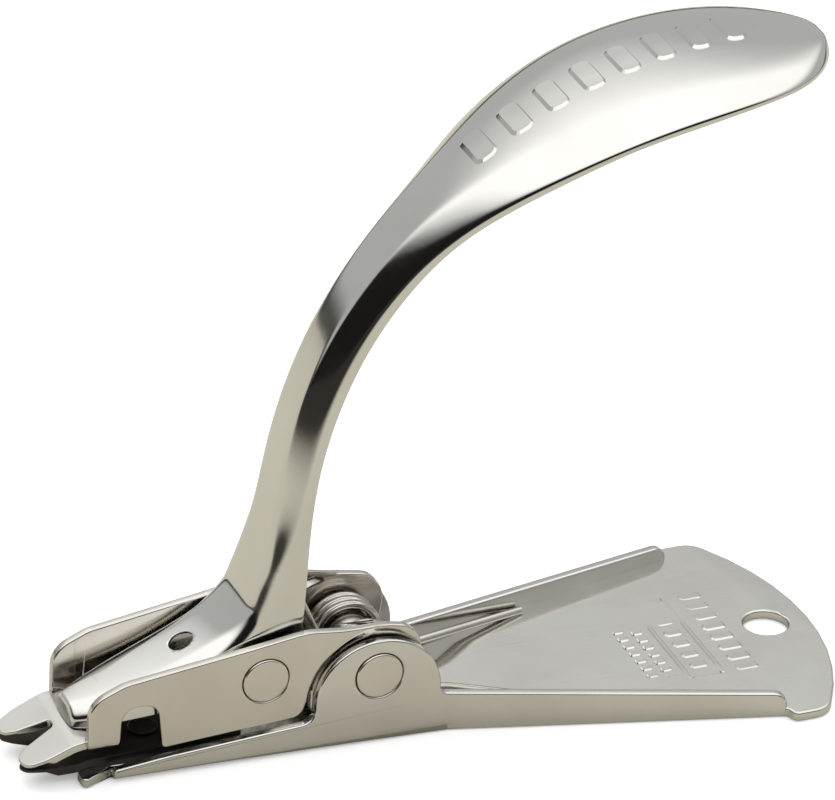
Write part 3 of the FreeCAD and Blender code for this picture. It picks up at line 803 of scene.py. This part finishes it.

# %% [markdown]
# ## Which body each piece rides on
# A piece that stands in for a node of the imported model hides that node and rides on the same body,
# so that the joint moves it.

# %% Riding and standing in
for piece, body, stands_for, slot_name in (
        (base, "base", "base_frame", "nickel_base"),
        (tongue, "base", "lower_tongue", "black_steel"),
        (tongue_rivets[0], "base", "tongue_rivets", "nickel_rivet"),
        (tongue_rivets[1], "base", "tongue_rivets", "nickel_rivet"),
        (pivot_rivet, "base", "pivot_rivet", "nickel_rivet"),
        (coils[0], "base", "return_spring", "spring_steel"),
        (coils[1], "base", "return_spring", "spring_steel"),
        (front_loop, "upper_jaw", "return_spring", "spring_steel"),
        (jaw, "upper_jaw", "jaw_channel", "nickel_jaw"),
        (blade, "upper_jaw", "jaw_channel", "nickel_jaw"),
        (handle, "upper_jaw", "handle_lever", "nickel_handle"),
        (front_rivet, "upper_jaw", "front_rivet", "nickel_rivet")):
    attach(piece, body)
    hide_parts(stands_for)
for piece in marks:
    on_handle = piece.name.startswith("pad")
    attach(piece, "upper_jaw" if on_handle else "base")
print("pieces in place")

# %% [markdown]
# ## Materials
# Nickel plating is bright and slightly warm, with hair-fine drawing marks, small stains and faint
# scratches. One shared node group makes the plating's stains, roughness and surface height. The jaw's
# side plates get a darker, warmer copy of the nickel, which is painted shade of the side faces. The
# tongue and its rivets are painted near black, as shade and dark reflection under the blade, and the
# spring is plain wire.

# %% Node helpers
def feed(tree, value, socket):
    """Link another node's output to a socket, or set the socket's own value."""
    if isinstance(value, bpy.types.NodeSocket):
        tree.links.new(value, socket)
    else:
        socket.default_value = value


def node(tree, kind, **settings):
    """Add a node; each setting is one of its properties or the value of one of its inputs."""
    made = tree.nodes.new(kind)
    for key, value in settings.items():
        if key in made.bl_rna.properties:
            setattr(made, key, value)
        else:
            feed(tree, value, made.inputs[key])
    return made


def noise(tree, source, scale, detail):
    made = node(tree, "ShaderNodeTexNoise", Vector=source, Scale=scale, Detail=detail, Roughness=0.5)
    return made.outputs["Fac"]


def ramp(tree, source, low, high, to_low=0.0, to_high=1.0, shape="LINEAR"):
    """Map a value from one range to another, without going past its ends."""
    made = node(tree, "ShaderNodeMapRange", interpolation_type=shape, Value=source)
    for title, value in (("From Min", low), ("From Max", high), ("To Min", to_low), ("To Max", to_high)):
        made.inputs[title].default_value = value
    return made.outputs["Result"]


def math_node(tree, operation, a, b):
    made = node(tree, "ShaderNodeMath", operation=operation)
    feed(tree, a, made.inputs[0])
    feed(tree, b, made.inputs[1])
    return made.outputs[0]


def blend(tree, factor, first, second, way="MIX"):
    """Mix two colours, each given as a colour or as another node's output."""
    made = node(tree, "ShaderNodeMix", data_type="RGBA", blend_type=way)
    for title, value in (("Factor", factor), ("A", first), ("B", second)):
        feed(tree, value, made.inputs[title])
    return next(o for o in made.outputs if o.type == "RGBA")


def first_node(tree, kind):
    return next(n for n in tree.nodes if n.type == kind)


print("node helpers ready")

# %% Shared group: plating wear
plating = bpy.data.node_groups.new("Plating wear", "ShaderNodeTree")
for title in ("Stain", "Rough", "Height"):
    plating.interface.new_socket(title, in_out="OUTPUT", socket_type="NodeSocketFloat")
plating_out = plating.nodes.new("NodeGroupOutput")
coords = plating.nodes.new("ShaderNodeTexCoord").outputs["Object"]


def streaks(scale, detail, turn=(0, 0, 0)):
    """Noise stretched by a different amount along each axis, after a turn."""
    mapping = node(plating, "ShaderNodeMapping", Vector=coords, Rotation=turn, Scale=scale)
    return noise(plating, mapping.outputs["Vector"], 1.0, detail)


def weighted(*terms):
    """A sum of outputs, each with its own weight."""
    total = None
    for value, weight in terms:
        scaled = math_node(plating, "MULTIPLY", value, abs(weight))
        if total is None:
            total = scaled
        else:
            total = math_node(plating, "ADD" if weight > 0 else "SUBTRACT", total, scaled)
    return total


stain = ramp(plating, noise(plating, coords, 42.0, 5.0), 0.35, 0.75)
smear = ramp(plating, noise(plating, coords, 140.0, 3.0), 0.4, 0.7)
drawn = streaks((90.0, 2600.0, 900.0), 2.0)
scratch = ramp(plating, streaks((60.0, 1500.0, 1500.0), 3.0, (0.3, 0.9, 0.7)), 0.68, 0.74)
fine = noise(plating, coords, 5200.0, 2.0)
dents = noise(plating, coords, 230.0, 2.0)
feed(plating, stain, plating_out.inputs["Stain"])
feed(plating, weighted((stain, 0.35), (smear, 0.3), (scratch, 0.6)), plating_out.inputs["Rough"])
feed(plating, weighted((drawn, 0.4), (fine, 0.25), (dents, 0.6), (scratch, -0.5)),
     plating_out.inputs["Height"])
print("shared group ready:", plating.name)

# %% Metals
def metal(name, light, dark, rough_low, rough_high, bump, metallic=1.0):
    """A metal whose colour, roughness and bump come from the shared plating group."""
    material = bpy.data.materials.new(name)
    material.use_nodes = True
    tree = material.node_tree
    shader = first_node(tree, "BSDF_PRINCIPLED")
    wear = node(tree, "ShaderNodeGroup", node_tree=plating)
    lift = node(tree, "ShaderNodeBump", Strength=bump, Distance=0.08 * MM, Height=wear.outputs["Height"])
    shader.inputs["Metallic"].default_value = metallic
    feed(tree, blend(tree, wear.outputs["Stain"], (*light, 1), (*dark, 1)), shader.inputs["Base Color"])
    feed(tree, ramp(tree, wear.outputs["Rough"], 0.0, 1.0, rough_low, rough_high),
         shader.inputs["Roughness"])
    feed(tree, lift.outputs["Normal"], shader.inputs["Normal"])
    return material


nickel = metal("Nickel plating, polished", (0.72, 0.715, 0.69), (0.66, 0.65, 0.615), 0.07, 0.18, 0.08)
# A darker, warmer copy of the nickel for the jaw's side plates: painted shade of the side faces. Its higher
# roughness is a satin finish.
nickel_shaded_side = metal("Nickel plating, satin, painted side shade", (0.67, 0.645, 0.60), (0.58, 0.55, 0.50), 0.13, 0.28, 0.16)
nickel_flat = metal("Nickel plating, rolled", (0.69, 0.68, 0.65), (0.61, 0.59, 0.555), 0.12, 0.26, 0.14)
rivet_metal = metal("Nickel rivet ends", (0.68, 0.655, 0.61), (0.60, 0.57, 0.52), 0.13, 0.28, 0.20)
# Near black: painted shade and dark reflection under the blade, standing in for the dark seen there.
black_steel = metal("Steel painted black for shade under the blade", (0.035, 0.033, 0.03), (0.06, 0.055, 0.05), 0.25, 0.5, 0.3, 0.85)
spring_steel = metal("Spring wire", (0.62, 0.59, 0.54), (0.42, 0.40, 0.36), 0.16, 0.36, 0.2)
print("metals:", [m.name for m in (nickel, nickel_shaded_side, nickel_flat, rivet_metal, black_steel, spring_steel)])

# %% Paint every piece
def paint(material, *pieces):
    for piece in pieces:
        piece.data.materials.clear()
        piece.data.materials.append(material)


paint(nickel_flat, base, blade, *marks[1:])
paint(nickel, handle, marks[0])
# The jaw gets the darker copy of the nickel, which is painted shade of its side faces.
paint(nickel_shaded_side, jaw)
paint(rivet_metal, front_rivet, pivot_rivet)
# The tongue and its rivets are painted near black as shade and dark reflection under the blade.
paint(black_steel, tongue, *tongue_rivets)
paint(spring_steel, *coils, front_loop)
print("painted")

# %% [markdown]
# ## Floor, light and camera
# A product table: a pale floor, a bright soft surround and one large soft light overhead. Polished
# metal shows its surroundings, so the surround and the far floor turn dark on the viewer's side, as
# in a studio behind the camera, and a thin dark strip runs round the horizon. Only glossy rays see
# these dark parts, so the backdrop itself stays white.

# %% Floor
VIEWER_SIDE = (-0.40, -0.91, 0.0)


def towards_viewer(tree, vector):
    """How far a direction or a place lies on the viewer's side."""
    product = node(tree, "ShaderNodeVectorMath", operation="DOT_PRODUCT")
    tree.links.new(vector, product.inputs[0])
    product.inputs[1].default_value = VIEWER_SIDE
    return product.outputs["Value"]


bpy.ops.object.select_all(action="DESELECT")
bpy.ops.mesh.primitive_plane_add(size=40.0, location=(0, 0, -0.2 * MM))
floor = bpy.context.object
floor.name = "studio_floor"
floor_material = bpy.data.materials.new("Pale floor")
floor_material.use_nodes = True
tree = floor_material.node_tree
shader = first_node(tree, "BSDF_PRINCIPLED")
position = tree.nodes.new("ShaderNodeTexCoord").outputs["Object"]
path = tree.nodes.new("ShaderNodeLightPath").outputs
beyond = ramp(tree, towards_viewer(tree, position), 0.16, 0.36)
pale = blend(tree, noise(tree, position, 60.0, 4.0), (0.93, 0.93, 0.93, 1), (0.90, 0.90, 0.895, 1))
seen = math_node(tree, "MULTIPLY", path["Is Glossy Ray"], beyond)
dim = blend(tree, seen, pale, (0.03, 0.028, 0.025, 1))
warm = blend(tree, path["Is Glossy Ray"], dim, (0.63, 0.60, 0.515, 1), "MULTIPLY")
glow = math_node(tree, "MULTIPLY", path["Is Camera Ray"], 0.30)
for title, value in (("Base Color", warm), ("Roughness", 0.9), ("Specular IOR Level", 0.1),
                     ("Emission Color", (1, 1, 1, 1)), ("Emission Strength", glow)):
    feed(tree, value, shader.inputs[title])
paint(floor_material, floor)
print("floor ready")

# %% Surround
world = bpy.data.worlds.new("Studio surround")
bpy.context.scene.world = world
world.use_nodes = True
tree = world.node_tree
background = first_node(tree, "BACKGROUND")
ray = tree.nodes.new("ShaderNodeLightPath").outputs
way = tree.nodes.new("ShaderNodeTexCoord").outputs["Generated"]
height = node(tree, "ShaderNodeSeparateXYZ", Vector=way).outputs["Z"]
viewer_mask = ramp(tree, towards_viewer(tree, way), 0.25, 0.5)
below_top = ramp(tree, height, 0.44, 0.56, 1.0, 0.0)
horizon = ramp(tree, height, 0.06, 0.13, 0.9, 0.0)
dark = math_node(tree, "MAXIMUM", math_node(tree, "MULTIPLY", viewer_mask, below_top), horizon)
top = ramp(tree, height, 0.46, 0.72, shape="SMOOTHSTEP")
sky = blend(tree, top, (0.54, 0.55, 0.545, 1), (1.45, 1.45, 1.44, 1))
band = blend(tree, math_node(tree, "MULTIPLY", dark, ray["Is Glossy Ray"]), sky, (0.012, 0.011, 0.010, 1))
feed(tree, blend(tree, ray["Is Camera Ray"], band, (1.0, 1.0, 1.0, 1)), background.inputs["Color"])
background.inputs["Strength"].default_value = 1.0
print("surround ready")

# %% Soft overhead light
bpy.ops.object.light_add(type="AREA", location=(0.35, 0.45, 1.1))
lamp = bpy.context.object
lamp.name = "soft_overhead"
lamp.data.shape = "DISK"
lamp.data.size = 1.5
lamp.data.energy = 3.2
lamp.visible_glossy = False
lamp.rotation_euler = (Vector((0, 0, 0.05)) - lamp.location).to_track_quat("-Z", "Y").to_euler()
print("lamp at", [round(v, 2) for v in lamp.location])

# %% Camera
AZIMUTH, ELEVATION, ROLL = -0.416312, 0.515186, 0.049219
AIM, DISTANCE = Vector((0.01108, 0.0, 0.06757)), 1.4
SENSOR, LENS = 36.0, 312.4507
back_way = Vector((math.sin(AZIMUTH) * math.cos(ELEVATION), -math.cos(AZIMUTH) * math.cos(ELEVATION),
                   math.sin(ELEVATION)))
flat_right = Vector((math.cos(AZIMUTH), math.sin(AZIMUTH), 0))
flat_up = back_way.cross(flat_right)
right = flat_right * math.cos(ROLL) + flat_up * math.sin(ROLL)
up = flat_up * math.cos(ROLL) - flat_right * math.sin(ROLL)
bpy.ops.object.camera_add(location=AIM + back_way * DISTANCE)
camera = bpy.context.object
camera.name = "main_camera"
camera.rotation_euler = Matrix((right, up, back_way)).transposed().to_euler()
camera.data.sensor_width = SENSOR
camera.data.lens = LENS
camera.data.clip_end = 50.0
bpy.context.scene.camera = camera
bpy.context.scene.view_settings.view_transform = "Standard"
print("camera at", [round(v, 3) for v in camera.location])

# %% Sizes and finish
print("CAD box", cad_box)
